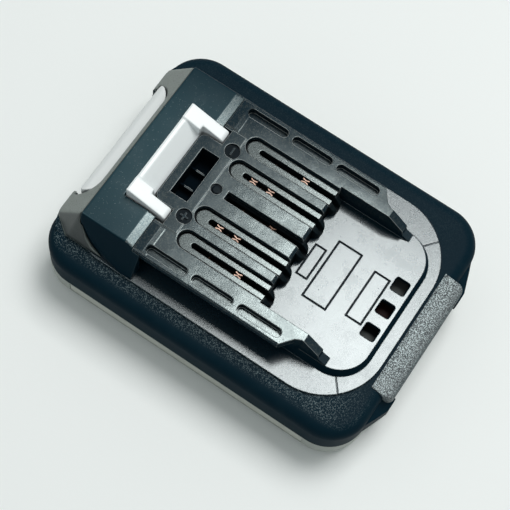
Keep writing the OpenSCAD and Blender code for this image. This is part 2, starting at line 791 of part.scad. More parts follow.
// helical spring of flat wire between the base and the foot of the slider
module latch_spring(x) {
  bottom = floor_thickness + seat_gap;
  outer = spring_diameter / 2;
  inner = outer - 0.6;
  color([0.7, 0.7, 0.72]) translate([x, spring_y, bottom])
    linear_extrude(height = slider_foot - seat_gap - bottom, twist = -360 * spring_turns,
      slices = 12 * spring_turns)
      polygon([[outer, 0], [outer * cos(35), outer * sin(35)], [outer * cos(70), outer * sin(70)],
        [inner * cos(70), inner * sin(70)], [inner * cos(35), inner * sin(35)], [inner, 0]]);
}

module latch_spring_left() {
  latch_spring(-spring_place);
}

module latch_spring_right() {
  latch_spring(spring_place);
}

// raised part of the plate around one slot, round at the front
module terminal_island(rear) {
  radius = island_width / 2;
  round_middle = finger_start + island_gap + radius;
  translate([0, 0, plate_top - 1]) linear_extrude(height = island_top - plate_top + 1) {
    translate([0, round_middle]) circle(r = radius);
    translate([-radius, round_middle]) square([island_width, rear - round_middle]);
  }
}

module terminal_holder() {
  bottom = board_top + seat_gap;
  half = chamber_half - 0.15;
  rear = roof_end - 0.1;
  room = 4.4;
  color([0.15, 0.16, 0.16]) difference() {
    union() {
      block(-half, half, chamber_front + 0.2, rear, bottom, plate_top);
      for (place = slot_places) {
        intersection() {
          along_x(place * slot_pitch - island_width / 2, place * slot_pitch + island_width / 2)
            polygon([[rear - 1, deck_top + seat_gap], [rear + 2.5, deck_top + seat_gap],
            [rear + 2.5, plate_top - 3], [rear + 0.4, plate_top], [rear - 1, plate_top]]);
          translate([place * slot_pitch, 0, 0]) linear_extrude(height = 2 * plate_top)
            rounded_plan(island_width / 2, rear - 4, rear + 2.5, 0.4, 2);
        }
      }
      for (place = outer_places) {
        translate([place * slot_pitch, 0, 0]) terminal_island(rear);
      }
    }
    for (place = slot_places) {
      x = place * slot_pitch;
      translate([x, 0, deck_top + 0.6]) linear_extrude(height = plate_top) {
        translate([0, slot_start + slot_width / 2]) circle(d = slot_width);
        translate([-slot_width / 2, slot_start + slot_width / 2])
          square([slot_width, roof_end + 6 - slot_start]);
      }
      block(x - room / 2, x + room / 2, slot_start - 1.5, rear - 2, bottom - 1, plate_top - 2);
    }
  }
}

// forked contact seen from above, its mouth towards the rear
module fork_plan(length) {
  t = contact_thickness;
  arm = 1.5;
  translate([-arm, -length]) square([2 * arm, 0.5]);
  for (side = [-1, 1]) {
    polygon([[0, -length], [side * arm, -length], [side * arm, -3.4], [side * (0.1 + t), -1.2],
      [side * (0.9 + t), 0], [side * 0.9, 0], [side * 0.1, -1.2], [side * (arm - t), -3.4],
      [side * (arm - t), 0.5 - length], [0, 0.5 - length]]);
  }
}

// tips that rise into the slot, bent apart before and behind the pinch
module fork_tips() {
  reach = slot_width / 2 - 0.2;
  blade = 0.35;
  pinch = -1.2;
  bend = 1.1;
  for (side = [-1, 1]) {
    polygon([[side * reach, pinch - bend], [side * (0.1 + blade), pinch], [side * reach, pinch + bend],
      [side * (reach - blade), pinch + bend], [side * 0.1, pinch], [side * (reach - blade), pinch - bend]]);
  }
}

module fork(place, mouth, length, tip_top) {
  bottom = board_top + seat_gap / 2;
  shelf = plate_top - 2.3;
  translate([place * slot_pitch, mouth, 0]) {
    translate([0, 0, bottom]) linear_extrude(height = shelf - bottom) fork_plan(length);
    translate([0, 0, shelf - 0.2]) linear_extrude(height = tip_top - shelf + 0.2) fork_tips();
  }
}

module contact_negative() {
  color([0.8, 0.55, 0.4]) fork(-2, power_mouth, 12, outer_tips);
}

module contact_positive() {
  color([0.8, 0.55, 0.4]) fork(2, power_mouth, 12, outer_tips);
}

module contact_middle() {
  color([0.8, 0.55, 0.4]) fork(0, power_mouth, 12, plate_top - 0.3);
}

module sense_contacts(place) {
  color([0.8, 0.55, 0.4]) {
    fork(place, slot_start + 5, 4.9, outer_tips);
    fork(place, slot_start + 11, 4.9, outer_tips);
  }
}

module contacts_sense_left() {
  sense_contacts(-1);
}

module contacts_sense_right() {
  sense_contacts(1);
}

module control_board() {
  color([0.05, 0.25, 0.15]) difference() {
    block(-board_half, board_half, board_front + 0.2, board_rear, board_bottom, board_top);
    both_sides() translate([board_hole_place[0], board_rear - board_hole_place[1], board_bottom - 1])
      cylinder(d = board_hole, h = board_thickness + 2);
  }
}

// flat part on the board, its front edge set back from the rear of the board
module flat_part(x, setback, size, height) {
  block(x - size[0] / 2, x + size[0] / 2, board_rear - setback, board_rear - setback + size[1],
    board_top, board_top + height);
}

// flat parts on the board, behind the terminals
module board_parts() {
  height = deck_top - deck_plate - board_top - 0.15;
  color([0.05, 0.05, 0.05]) {
    for (x = switch_places) {
      flat_part(x, switch_setback, switch_size, height);
    }
    flat_part(0, chip_setback, chip_size, height);
    for (x = small_places) {
      flat_part(x, small_setback, small_size, height * 0.8);
    }
  }
}

module board_insulator() {
  color([0.75, 0.7, 0.55])
    block(-board_half, board_half, board_front + 2.4, valley_y(4) - 2.6,
      insulator_bottom, insulator_bottom + sheet_thickness);
}

module thermistor() {
  bead = 1.2;
  y = valley_y(3);
  bead_z = cell_axis + sqrt(pow(cell_radius + bead + 0.1, 2) - pow(cell_pitch / 2, 2));
  color([0.6, 0.35, 0.2]) {
    translate([-2.5, y, bead_z]) rotate([0, 90, 0]) cylinder(r = bead, h = 5);
    for (x = [-1.2, 1.2]) {
      translate([x, y, bead_z]) cylinder(d = 0.6, h = insulator_bottom - seat_gap - bead_z);
    }
  }
}

// one cell, its raised pole to the left or to the right
module cell(i) {
  half = cell_length / 2;
  pole = 1;
  side = i % 2 == 0 ? 1 : -1;
  color([0.55, 0.16, 0.14]) translate([0, cell_y(i), cell_axis]) rotate([0, 90 * side, 0]) {
    translate([0, 0, -half]) cylinder(r = cell_radius, h = cell_length - pole);
    translate([0, 0, half - pole - 0.1]) cylinder(r = 4.5, h = pole + 0.1);
  }
}

module cell_1() {
  cell(1);
}

module cell_2() {
  cell(2);
}

module cell_3() {
  cell(3);
}

module cell_4() {
  cell(4);
}

module cell_5() {
  cell(5);
}

// frame that holds the ends of all cells on one side
module cell_frame() {
  color([0.2, 0.2, 0.2]) difference() {
    block(frame_inner, frame_outer, cell_front - 0.3, cell_rear + 0.3, floor_thickness + seat_gap, frame_top);
    for (i = [1 : cell_count]) {
      translate([0, cell_y(i), cell_axis]) rotate([0, 90, 0])
        cylinder(r = cell_radius + socket_gap, h = cell_length / 2 + seat_gap);
      translate([0, cell_y(i), cell_axis]) rotate([0, 90, 0]) cylinder(d = weld_hole, h = 2 * frame_outer);
    }
    for (i = [1, 4]) {
      block(0, 2 * frame_outer, valley_y(i) - strap_width / 2 - 0.3, valley_y(i) + strap_width / 2 + 0.3,
        strap_height - 0.3, frame_top + 1);
    }
  }
}

module cell_frame_left() {
  mirror([1, 0, 0]) cell_frame();
}

module cell_frame_right() {
  cell_frame();
}

// nickel strip over the ends of the listed cells, with a welded dimple on each
module nickel_strip(cells) {
  reach = 6;
  first = cell_y(cells[0]);
  last = cell_y(cells[len(cells) - 1]);
  color([0.75, 0.74, 0.72]) {
    block(strip_inner, strip_outer, first - reach, last + reach, cell_axis - 4, cell_axis + 4);
    for (i = cells) {
      translate([cell_length / 2 + 0.05, cell_y(i), cell_axis]) rotate([0, 90, 0])
        cylinder(d = weld_dimple, h = strip_outer - cell_length / 2 - 0.05);
    }
  }
}

module link_left_front() {
  mirror([1, 0, 0]) nickel_strip([1, 2]);
}

module link_left_middle() {
  mirror([1, 0, 0]) nickel_strip([3, 4]);
}

module end_tab_left() {
  mirror([1, 0, 0]) nickel_strip([5]);
}

module end_tab_right() {
  nickel_strip([1]);
}

module link_right_middle() {
  nickel_strip([2, 3]);
}

module link_right_rear() {
  nickel_strip([4, 5]);
}

// flat strap from an end tab up through the valley between two cells to the board
module bus_strap(valley, tab_side) {
  y0 = valley - strap_width / 2;
  y1 = valley + strap_width / 2;
  thickness = 0.4;
  tab_end = valley - tab_side * 3.2;
  color([0.8, 0.6, 0.45]) {
    block(board_half - 1, strip_outer, y0, y1, strap_height, strap_height + thickness);
    block(strip_inner, strip_outer, y0, y1, cell_axis - 1.5, strap_height + thickness);
    block(strip_inner, strip_outer, min(tab_end, valley), max(tab_end, valley), cell_axis - 1.5,
      cell_axis + 1.5);
  }
}

// post of a strap under the board
module strap_post(y0, y1) {
  color([0.8, 0.6, 0.45]) block(board_half - 1, board_half - 0.4, y0, y1, strap_height, board_bottom - 0.05);
}

module bus_strap_left() {
  mirror([1, 0, 0]) {
    bus_strap(valley_y(4), -1);
    strap_post(valley_y(4) - strap_width / 2, valley_y(4) + strap_width / 2);
  }
}

module bus_strap_right() {
  bus_strap(valley_y(1), 1);
  strap_post(board_front + 0.3, valley_y(1) + strap_width / 2);
}

module side_sheet() {
  color([0.8, 0.78, 0.7]) block(sheet_inner, sheet_outer, cell_front + 1, cell_rear - 1,
    floor_thickness + seat_gap, frame_top);
}

module side_sheet_left() {
  mirror([1, 0, 0]) side_sheet();
}

module side_sheet_right() {
  side_sheet();
}

module cell_pad() {
  color([0.3, 0.3, 0.3]) block(-frame_inner + 1, frame_inner - 1, cell_front + 2, cell_rear - 2,
    floor_thickness, floor_thickness + pad_thickness);
}

// area of a side label, made smaller by a gap all around
module label_area(x0, x1, gap) {
  block(x0, x1, front_face + front_corner_radius + 1 + gap, rear_face - rear_corner_radius - 1 - gap,
    foot_radius + 0.2 + gap, base_height - 0.6 - gap);
}

// bare label on the side of the base
module side_label() {
  color([0.62, 0.63, 0.61]) label_area(half_width - label_recess + 0.02, half_width - 0.1, label_gap);
}

module side_label_left() {
  mirror([1, 0, 0]) side_label();
}

module side_label_right() {
  side_label();
}

module base_label() {
  color([0.62, 0.63, 0.61]) block(label_gap - base_label_half, base_label_half - label_gap,
    base_label_front + label_gap, base_label_rear - label_gap, 0.1, label_recess - 0.02);
}

module case_screws() {
  color([0.45, 0.45, 0.47]) for (y = screw_places) {
    for (side = [-1, 1]) {
      translate([side * screw_x, y, head_seat - head_height]) difference() {
        union() {
          cylinder(d = screw_head, h = head_height - 0.05);
          cylinder(d = screw_diameter, h = head_height + screw_length);
        }
        for (turn = [0, 90]) {
          rotate([0, 0, turn]) translate([-1.2, -0.3, -1]) cube([2.4, 0.6, 1.9]);
        }
      }
    }
  }
}

base_case();
upper_case();
rear_bumper();
front_cowl();
latch_housing();
latch_hook();
release_button();
latch_spring_left();
latch_spring_right();
terminal_holder();
contact_negative();
contact_positive();
contact_middle();
contacts_sense_left();
contacts_sense_right();
control_board();
board_parts();
board_insulator();
thermistor();
cell_1();
cell_2();
cell_3();
cell_4();
cell_5();
cell_frame_left();
cell_frame_right();
link_left_front();
link_left_middle();
end_tab_left();
end_tab_right();
link_right_middle();
link_right_rear();
bus_strap_left();
bus_strap_right();
side_sheet_left();
side_sheet_right();
cell_pad();
side_label_left();
side_label_right();
base_label();
case_screws();
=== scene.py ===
import json

import bpy
from mathutils import Matrix, Vector


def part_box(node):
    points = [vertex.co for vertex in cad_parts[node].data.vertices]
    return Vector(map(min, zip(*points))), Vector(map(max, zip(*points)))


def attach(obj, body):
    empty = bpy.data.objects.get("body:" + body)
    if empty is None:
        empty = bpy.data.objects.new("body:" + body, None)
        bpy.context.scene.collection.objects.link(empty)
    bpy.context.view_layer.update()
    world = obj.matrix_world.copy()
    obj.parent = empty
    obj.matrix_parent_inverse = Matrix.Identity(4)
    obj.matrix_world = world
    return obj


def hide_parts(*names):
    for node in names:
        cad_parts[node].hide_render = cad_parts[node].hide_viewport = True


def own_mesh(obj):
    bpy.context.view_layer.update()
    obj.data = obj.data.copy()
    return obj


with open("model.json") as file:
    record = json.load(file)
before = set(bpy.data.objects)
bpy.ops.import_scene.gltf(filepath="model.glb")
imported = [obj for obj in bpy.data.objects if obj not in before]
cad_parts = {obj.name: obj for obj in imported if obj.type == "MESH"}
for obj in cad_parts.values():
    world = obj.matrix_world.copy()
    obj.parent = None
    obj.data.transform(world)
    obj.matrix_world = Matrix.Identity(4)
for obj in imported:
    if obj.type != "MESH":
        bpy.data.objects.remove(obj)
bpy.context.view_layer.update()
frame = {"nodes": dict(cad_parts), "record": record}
MM = 0.001

# plain colours
CASE_BLACK = (0.0022, 0.0140, 0.0235)
# teal of the housing's top; its flanks take the darker CASE_BLACK as painted shade
HOUSING_TEAL = (0.0042, 0.0320, 0.0460)
COWL_TAUPE = (0.170, 0.200, 0.188)
BASE_TAUPE = (0.36, 0.39, 0.36)
BUMPER_GREY = (0.20, 0.24, 0.25)
LATCH_WHITE = (0.86, 0.915, 0.93)
# painted shade on the release button, greyer than the hook's white
BUTTON_SHADE_GREY = (0.64, 0.675, 0.68)
HOLDER_BLACK = (0.006, 0.011, 0.014)
BOARD_GREEN = (0.01, 0.07, 0.04)
WRAP_BLACK = (0.006, 0.008, 0.010)
LABEL_GREY = (0.38, 0.40, 0.36)
FLOOR_PALE = (0.85, 0.885, 0.885)

# tints of the gloss
COOL_SHEEN = (0.80, 0.98, 1.0)
PALE_SHEEN = (0.93, 0.995, 1.0)
GREEN_SHEEN = (0.85, 0.975, 0.965)

# colours of wear, grain, dust and edges, with painted glints, painted highlights and painted shade
# among them
CASE_WORN = (0.006, 0.020, 0.030)
# painted highlight for the grain's glints on the near shoulder
CASE_PAINTED_GLINT = (0.135, 0.185, 0.200)
CASE_GRIT = (0.045, 0.055, 0.056)
# edges of the tops, rubbed by wear and painted lighter as a painted highlight
CASE_RUBBED_HIGHLIGHT = (0.56, 0.61, 0.61)
# painted shade: near black in the window and the other hollows of the top
CASE_HOLLOW_SHADE = (0.002, 0.006, 0.010)
HOUSING_WORN = (0.008, 0.030, 0.042)
# painted highlight along the housing's rounded edges on top
HOUSING_EDGE_HIGHLIGHT = (0.10, 0.14, 0.15)
HOUSING_DUST = (0.22, 0.29, 0.30)
# grain of the housing's rear strip, painted light grey as a painted highlight of its slope
HOUSING_STRIP_GRAIN_HIGHLIGHT = (0.24, 0.26, 0.25)
# painted highlight along the housing's rounded edges on the flanks
FLANK_EDGE_HIGHLIGHT = (0.05, 0.08, 0.09)
COWL_WORN = (0.195, 0.215, 0.206)
COWL_GRAIN = (0.110, 0.130, 0.122)
# painted shade on the cowl's sides
COWL_SIDE_SHADE = (0.014, 0.022, 0.025)
COWL_PIT = (0.022, 0.028, 0.028)
# dark grain of the bumper, also used as painted shade towards its outer edge
BUMPER_PEPPER_AND_SHADE = (0.020, 0.030, 0.035)
BUMPER_SALT = (0.50, 0.60, 0.62)
BUMPER_WORN = (0.36, 0.42, 0.43)
LATCH_MARK = (0.71, 0.75, 0.77)
LATCH_SPECK = (0.40, 0.43, 0.43)
HOLDER_WORN = (0.016, 0.023, 0.026)
HOLDER_GRIT = (0.045, 0.055, 0.058)
# painted highlight along the edges of the terminal plate's raised top
HOLDER_EDGE_HIGHLIGHT = (0.40, 0.44, 0.44)
BOARD_MASK = (0.010, 0.06, 0.035)
BOARD_TRACK = (0.02, 0.11, 0.06)
WRAP_DARK = (0.005, 0.008, 0.010)
WRAP_LIGHT = (0.010, 0.013, 0.016)
WRAP_RED_DARK = (0.011, 0.004, 0.004)
WRAP_RED_LIGHT = (0.022, 0.005, 0.005)
WRAP_PALE = (0.09, 0.10, 0.10)
LABEL_DARK = (0.37, 0.39, 0.345)
LABEL_LIGHT = (0.50, 0.52, 0.475)
FLOOR_DARK = (0.835, 0.875, 0.875)
FLOOR_LIGHT = (0.865, 0.90, 0.90)

# metals: name, clean colour, stained colour, roughness, whether all but the tips are painted darker
# as painted shade
METALS = (
    ("spring_steel", (0.55, 0.55, 0.56), (0.35, 0.35, 0.36), 0.25, False),
    ("contact_copper", (0.30, 0.205, 0.165), (0.15, 0.085, 0.06), 0.44, True),
    ("nickel", (0.66, 0.63, 0.58), (0.45, 0.42, 0.38), 0.28, False),
    ("screw_steel", (0.30, 0.30, 0.31), (0.12, 0.12, 0.12), 0.3, False),
)

# inner plastics: name, colour, worn colour, roughness, size of the grain
INNER_PLASTICS = (
    ("chip_plastic", (0.010, 0.010, 0.011), (0.02, 0.02, 0.02), 0.45, 0.2 * MM),
    ("insulation", (0.42, 0.44, 0.42), (0.52, 0.53, 0.50), 0.7, 0.4 * MM),
    ("thermistor_resin", (0.20, 0.08, 0.03), (0.28, 0.12, 0.05), 0.25, 0.5 * MM),
    ("frame_plastic", (0.02, 0.02, 0.022), (0.03, 0.03, 0.032), 0.5, 0.3 * MM),
    ("foam", (0.03, 0.03, 0.03), (0.05, 0.05, 0.05), 0.9, 0.3 * MM),
)

# heights on the pack
BASE_PALE = 9 * MM
BASE_TOP = 12 * MM
SHOULDER = 21.8 * MM
BAND = 22.6 * MM
DECK = 25.7 * MM
ISLAND = 32.5 * MM  # top of the raised parts of the terminal plate
RAIL = 34.0 * MM
PAD = 34.5 * MM

# opening in the pad behind the latch, and the two ribs in it
WINDOW_HALF = 8.75 * MM
WINDOW_FRONT, WINDOW_REAR = -31.0 * MM, -24.8 * MM
RIB_MIDDLE, RIB_HALF = 3.1 * MM, 0.27 * MM
RIB_FRONT, RIB_REAR = -29.4 * MM, -26.4 * MM
RIB_DEPTH = 4.8 * MM

# plus and minus signs, round recess before the middle slot, framed fields on the deck
SIGN_X, SIGN_Y, SIGN_RADIUS = 12.8 * MM, -23.05 * MM, 2.46 * MM
RECESS_Y, RECESS_RADIUS = -20.15 * MM, 1.82 * MM
FIELD_HALF, FIELD_FRONT, FIELD_REAR = 11 * MM, 12 * MM, 38 * MM

# slope along the housing's rear: its front edge in the CAD piece, and how far that is drawn forward
STRIP_EDGE = -30.85 * MM
STRIP_WIDENING = 1.6 * MM

# the button lies before these, the hook behind them
BUTTON_REAR, HOOK_FRONT = -46 * MM, -42 * MM

# outer edge of the bumper
BUMPER_TURN, BUMPER_EDGE = 53.0 * MM, 57.0 * MM

MERGE_DISTANCE = 0.005 * MM
SAME_PLACE = 0.05 * MM

# grids of the soft mouldings
FINE_GRID = 0.22 * MM
COARSE_GRID = 0.28 * MM

# floor, world and camera; the camera was fitted to the photo
FLOOR_SIZE = 6.0
FLOOR_GAP = 0.2 * MM
WORLD_COLOUR = (0.95, 0.995, 0.98, 1.0)
WORLD_STRENGTH = 0.40
SENSOR_WIDTH_MM = 36.0
FOCAL_LENGTH_MM = 103.33
CAMERA_RIGHT = Vector((-0.550241, 0.831868, 0.07232))
CAMERA_UP = Vector((-0.767716, -0.538061, 0.347998))
CAMERA_BACK = Vector((0.328401, 0.135961, 0.934702))
CAMERA_PLACE = Vector((0.151422, 0.058958, 0.434045))


# shader maths

class Wire:
    """A shader socket that takes part in plain sums."""

    def __init__(self, finish, socket):
        self.finish = finish
        self.socket = socket

    def _math(self, operation, other, swap=False):
        a, b = (other, self) if swap else (self, other)
        return self.finish.node("ShaderNodeMath", {"operation": operation}, {0: a, 1: b})

    def __add__(self, other): return self._math("ADD", other)
    def __radd__(self, other): return self._math("ADD", other, True)
    def __sub__(self, other): return self._math("SUBTRACT", other)
    def __rsub__(self, other): return self._math("SUBTRACT", other, True)
    def __mul__(self, other): return self._math("MULTIPLY", other)
    def __rmul__(self, other): return self._math("MULTIPLY", other, True)
    def __gt__(self, other): return self._math("GREATER_THAN", other)
    def __lt__(self, other): return self._math("LESS_THAN", other)
    def highest(self, other): return self._math("MAXIMUM", other)
    def size(self): return self._math("ABSOLUTE", 0.0)
    def root(self): return self._math("SQRT", 0.0)

    def ramp(self, low, high, start=0.0, end=1.0):
        """Goes smoothly from start to end while this value goes from low to high."""
        return self.finish.node(
            "ShaderNodeMapRange", {"interpolation_type": "SMOOTHSTEP"},
            {"Value": self, "From Min": low, "From Max": high, "To Min": start, "To Max": end})

    def between(self, low, high):
        return (self > low) * (self < high)


class Finish:
    """One material, built node by node around a Principled shader."""

    def __init__(self, name, colour, roughness, **fixed):
        self.material = bpy.data.materials.new(name)
        self.material.use_nodes = True
        self.tree = self.material.node_tree
        self.shader = self.tree.nodes["Principled BSDF"]
        self.set(Base_Color=colour, Roughness=roughness, **fixed)
        self.surface = Wire(self, self.shader.outputs[0])
        self.place = self.node("ShaderNodeTexCoord", output="Object")

    def put(self, socket, value):
        if isinstance(value, Wire):
            self.tree.links.new(value.socket, socket)
        elif socket.type == "RGBA":
            socket.default_value = (*value[:3], 1.0)
        else:
            socket.default_value = value

    def node(self, kind, settings=None, inputs=None, output=0):
        made = self.tree.nodes.new(kind)
        for key, value in (settings or {}).items():
            setattr(made, key, value)
        for key, value in (inputs or {}).items():
            self.put(made.inputs[key], value)
        return Wire(self, made.outputs[output])

    def axis(self, name):
        """Where the surface is along an axis of the pack."""
        return self.node("ShaderNodeSeparateXYZ", {}, {0: self.place}, name)

    def facing(self, name):
        """How far the surface faces along an axis, -1 to 1."""
        normal = self.node("ShaderNodeNewGeometry", output="Normal")
        return self.node("ShaderNodeSeparateXYZ", {}, {0: normal}, name)

    def noise(self, size, detail=2.0, rough=0.5, at=None):
        return self.node("ShaderNodeTexNoise", {},
                         {"Vector": at or self.place, "Scale": 1.0 / size,
                          "Detail": detail, "Roughness": rough}, "Fac")

    def cells(self, size, output="Distance"):
        return self.node("ShaderNodeTexVoronoi", {},
                         {"Vector": self.place, "Scale": 1.0 / size}, output)

    def mix(self, factor, first, second):
        return self.node("ShaderNodeMix", {"data_type": "RGBA"},
                         {0: factor, 6: first, 7: second}, 2)

    def bump(self, height, depth, strength, under=None):
        inputs = {"Height": height, "Distance": depth, "Strength": strength}
        if under is not None:
            inputs["Normal"] = under
        return self.node("ShaderNodeBump", {}, inputs)

    def edges(self, radius):
        """A normal that is rounded along edges."""
        return self.node("ShaderNodeBevel", {"samples": 10}, {"Radius": radius})

    def set(self, **sockets):
        for key, value in sockets.items():
            self.put(self.shader.inputs[key.replace("_", " ")], value)
        return self.material

    def polish(self, share, **sockets):
        """Another, shinier surface over the ones before, seen by the given share."""
        inputs = {key.replace("_", " "): value for key, value in sockets.items()}
        over = self.node("ShaderNodeBsdfPrincipled", {}, inputs)
        self.surface = self.node("ShaderNodeMixShader", {}, {0: share, 1: self.surface, 2: over})
        self.put(self.tree.nodes["Material Output"].inputs["Surface"], self.surface)


def clouds(finish, size=5 * MM):
    """Broad uneven patches around 0.5."""
    return finish.noise(size, 4.0, 0.6)


def scuffs(finish, size=6 * MM):
    """Faint worn patches, 0 to 1."""
    return clouds(finish, size).ramp(0.45, 0.75)


def specks(finish, size, share):
    """Small scattered grains, 0 to 1, on the given share of the places."""
    spots = finish.cells(size)
    chosen = finish.noise(size * 1.7, 0.0)
    return spots.ramp(0.26, 0.12) * chosen.ramp(1.0 - share, 1.02 - share)


def random_cells(finish, size):
    """A random level from 0 to 1 for each small grain of the surface."""
    return finish.node("ShaderNodeSeparateColor", {}, {0: finish.cells(size, "Color")})


def edge_band(finish, turned):
    """1 along edges and 0 on flat faces, from a normal that is rounded there."""
    flat = finish.node("ShaderNodeNewGeometry", output="True Normal")
    along = finish.node("ShaderNodeVectorMath", {"operation": "DOT_PRODUCT"},
                        {0: turned, 1: flat}, "Value")
    return along.ramp(0.97, 0.80)


def ring(x, y, middle_x, middle_y, radius):
    """1 inside a circle seen from above."""
    away_x = x - middle_x
    away_y = y - middle_y
    return (away_x * away_x + away_y * away_y).root() < radius


# finishes of the pieces

def case_hollows(x, y, z):
    """Masks of the upper case: the inside of the window, and everything set down into its top,
    which is painted near black as painted shade.
    """
    ribs = (((x.size() - RIB_MIDDLE).size() < RIB_HALF) * (z > PAD - RIB_DEPTH)
            * y.between(RIB_FRONT, RIB_REAR))
    window = ((x.size() < WINDOW_HALF) * y.between(WINDOW_FRONT, WINDOW_REAR)
              * z.between(DECK + 0.5 * MM, PAD - 0.7 * MM))
    signs = (ring(x.size(), y, SIGN_X, SIGN_Y, SIGN_RADIUS)
             * z.between(RAIL - 1.0 * MM, PAD - 0.4 * MM))
    recess = (ring(x, y, 0.0, RECESS_Y, RECESS_RADIUS)
              * z.between(RAIL - 1.0 * MM, RAIL - 0.15 * MM))
    fields = (z.between(DECK - 0.7 * MM, DECK - 0.1 * MM) * (x.size() < FIELD_HALF)
              * y.between(FIELD_FRONT, FIELD_REAR))
    inside = window * (1.0 - ribs)
    return inside, inside.highest(signs).highest(recess).highest(fields)


def case_plastic():
    """Moulded case: dull walls, a fine glint of grain on the near shoulder painted in as light
    specks, polished band and tops, painted highlights on the edges of the tops, and painted shade
    in its hollows.
    """
    f = Finish("case_plastic", CASE_BLACK, 0.5, Specular_IOR_Level=0.03)
    x, y, z = map(f.axis, "XYZ")
    upper = z.ramp(BAND - 0.5 * MM, BAND - 0.1 * MM)
    shoulder = z.ramp(SHOULDER - 2.4 * MM, SHOULDER - 0.4 * MM) * (1.0 - upper)
    band = upper * z.ramp(BAND + 0.8 * MM, BAND + 0.3 * MM)
    tops = z.ramp(DECK + 1.5 * MM, DECK + 4.0 * MM)
    off_step = 1.0 - z.between(RAIL + 0.06 * MM, PAD - 0.06 * MM) * 0.7
    # painted shade: these hollows are painted near black below
    inside, shaded_hollows = case_hollows(x, y, z)
    up = f.facing("Z").ramp(0.55, 0.85)

    grain = f.noise(0.42 * MM, rough=0.7)
    swell = f.noise(7 * MM)
    grit = random_cells(f, 0.28 * MM)
    near = (x.ramp(16 * MM, 30 * MM, 0.08, 1.0) * x.ramp(39.6 * MM, 36.6 * MM)
            * y.ramp(50 * MM, 42 * MM, 0.3, 1.0))
    rim = z.ramp(SHOULDER - 1.0 * MM, SHOULDER - 0.1 * MM) * shoulder
    # painted highlight: light specks along the near shoulder's crest stand in for its grain
    # catching the light
    painted_glints = random_cells(f, 0.21 * MM).ramp(0.62, 1.0) * rim * near
    worn = scuffs(f)
    dirt = specks(f, 0.9 * MM, 0.40) * f.noise(9 * MM).ramp(0.52, 0.68) * upper
    turned = f.edges(0.38 * MM)
    # edges of the upper faces, rubbed by wear, get a painted highlight and more gloss
    rubbed_highlight = edge_band(f, turned) * upper * (1.0 - shaded_hollows) * off_step

    colour = f.mix(worn * 0.4, CASE_BLACK, CASE_WORN)
    # painted highlight: the near shoulder's specks painted light
    colour = f.mix(painted_glints * 0.9, colour, CASE_PAINTED_GLINT)
    colour = f.mix(grit.ramp(0.55, 1.0) * tops * 0.8, colour, CASE_GRIT)
    # painted highlight along the rubbed edges of the tops
    colour = f.mix(rubbed_highlight * tops * 0.9, colour, CASE_RUBBED_HIGHLIGHT)
    # painted shade: the hollows painted near black
    colour = f.mix(shaded_hollows, colour, CASE_HOLLOW_SHADE)
    roughened = shoulder * 0.35 * near + band * 0.09 + tops * 0.10 + upper * 0.03
    normal = f.bump(grain * roughened + swell * tops * 0.8, 0.10 * MM, 0.8, turned)

    level = (0.86 + band * 0.03 - worn * 0.04 + (f.noise(11 * MM, 3.0) - 0.5) * 0.12
             + rubbed_highlight * 0.12)
    speckle = 1.0 + (grit - 0.5) * (0.08 + band * 0.10 + tops * 0.16)
    gloss = (upper * up * level * speckle * (1.0 - shaded_hollows * 0.90) * (1.0 - inside) * off_step
             * (1.0 - dirt * 0.8))
    f.polish(gloss * (1.0 - tops), Base_Color=colour, Normal=normal,
             Specular_Tint=PALE_SHEEN, IOR=1.58, Roughness=0.20 + band * 0.04 + worn * 0.02)
    far = x.ramp(-15 * MM, -9 * MM, 0.72, 1.0) * x.ramp(-26 * MM, -21 * MM, 0.5, 1.0)
    patches = y.ramp(-29 * MM, -12 * MM, 0.38, 0.86) + swell.ramp(0.40, 0.62) * 0.22
    f.polish(gloss * tops * (far * patches), Base_Color=colour, Normal=normal,
             Specular_Tint=GREEN_SHEEN, IOR=1.63, Roughness=0.20 + worn * 0.02)
    return f.set(Base_Color=colour, Roughness=0.50 + worn * 0.05 + inside * 0.45, Normal=normal)


def housing_plastic():
    """Smooth latch housing with a little dust: teal and glossy on top, fading towards both ends and
    down the flanks to the darker flank colour as painted shade, with painted highlights along its
    edges and on its rear strip.
    """
    f = Finish("housing_plastic", CASE_BLACK, 0.45, Specular_IOR_Level=0.03)
    worn = scuffs(f, 9 * MM)
    x, y, z = map(f.axis, "XYZ")
    dust = specks(f, 0.5 * MM, 0.43)
    strip = y.between(STRIP_EDGE - STRIP_WIDENING, STRIP_EDGE + 2.0 * MM) * (z > RAIL)
    grit = random_cells(f, 0.30 * MM)
    # painted highlight: lighter lines where the housing's edges are rounded
    edge = f.node("ShaderNodeNewGeometry", output="Pointiness").ramp(0.515, 0.56)
    colour = f.mix(worn * 0.5, HOUSING_TEAL, HOUSING_WORN)
    # painted highlight along the edges
    colour = f.mix(edge * 0.6, colour, HOUSING_EDGE_HIGHLIGHT)
    colour = f.mix(dust * 0.42, colour, HOUSING_DUST)
    # painted highlight: the rear strip's grain painted light grey where its slope catches the light
    colour = f.mix(strip * grit * 0.8, colour, HOUSING_STRIP_GRAIN_HIGHLIGHT)
    normal = f.bump(f.noise(1.8 * MM), 0.012 * MM, 0.5)
    # painted shade: with the gloss, the top's teal gives way to the darker flank colour down the
    # flanks and towards both ends
    share = (f.facing("Z").ramp(0.62, 0.90) * x.ramp(-36 * MM, -8 * MM, 0.25, 1.0)
             * x.ramp(10 * MM, 36 * MM, 1.0, 0.6))
    f.polish(share, Base_Color=colour, Normal=normal, Specular_IOR_Level=0.34,
             Specular_Tint=COOL_SHEEN, Roughness=0.24 + worn * 0.05 + dust * 0.2)
    # the flanks' darker colour is painted shade, with a painted highlight along their edges
    return f.set(Base_Color=f.mix(edge * 0.4, CASE_BLACK, FLANK_EDGE_HIGHLIGHT), Normal=normal)


